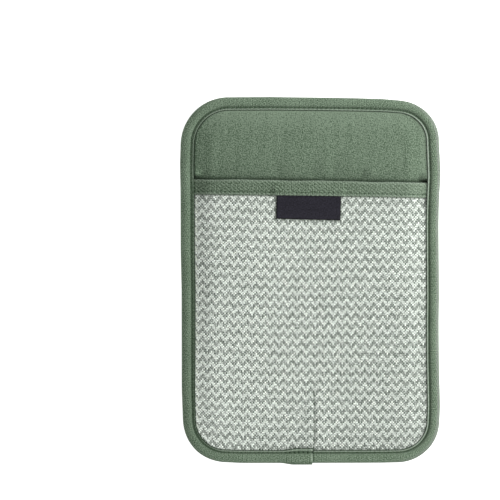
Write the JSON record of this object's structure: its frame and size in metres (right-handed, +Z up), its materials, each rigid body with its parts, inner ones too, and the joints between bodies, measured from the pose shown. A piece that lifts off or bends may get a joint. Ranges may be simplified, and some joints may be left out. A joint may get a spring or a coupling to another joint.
{
  "type": "pot holder",
  "caption": "Flat rectangular pot holder with rounded corners, a cloth hand pocket on its face, a ribbed rubbery back, a bound edge and a leather hanging loop.",
  "frame": {"origin": "on the surface that the pot holder lies on, under the middle of its outline", "axes": "+X to the right across the pot holder and +Y up its length towards the hanging loop, seen from the pocket side; +Z up, out of the pocket side"},
  "size_m": [0.1812, 0.2556, 0.0186],
  "materials": {
    "padded_cloth": "matt plain-weave cotton, sage green",
    "silicone": "satin moulded silicone, sage green",
    "pocket_cloth": "matt zigzag-woven cotton, off-white and sage green",
    "band_twill": "matt bias-cut cotton twill, sage green",
    "binding_twill": "matt bias-cut cotton twill, sage green",
    "label_cloth": "woven ribbon, near black, blank",
    "strap_leather": "tan smooth leather with pale cut edges"
  },
  "bodies": {
    "root": {"padded_body": "padded_cloth", "silicone_back": "silicone", "pocket_panel": "pocket_cloth", "pocket_band": "band_twill", "edge_binding": "binding_twill", "label": "label_cloth", "hanging_loop": "strap_leather"}
  },
  "joints": []
}
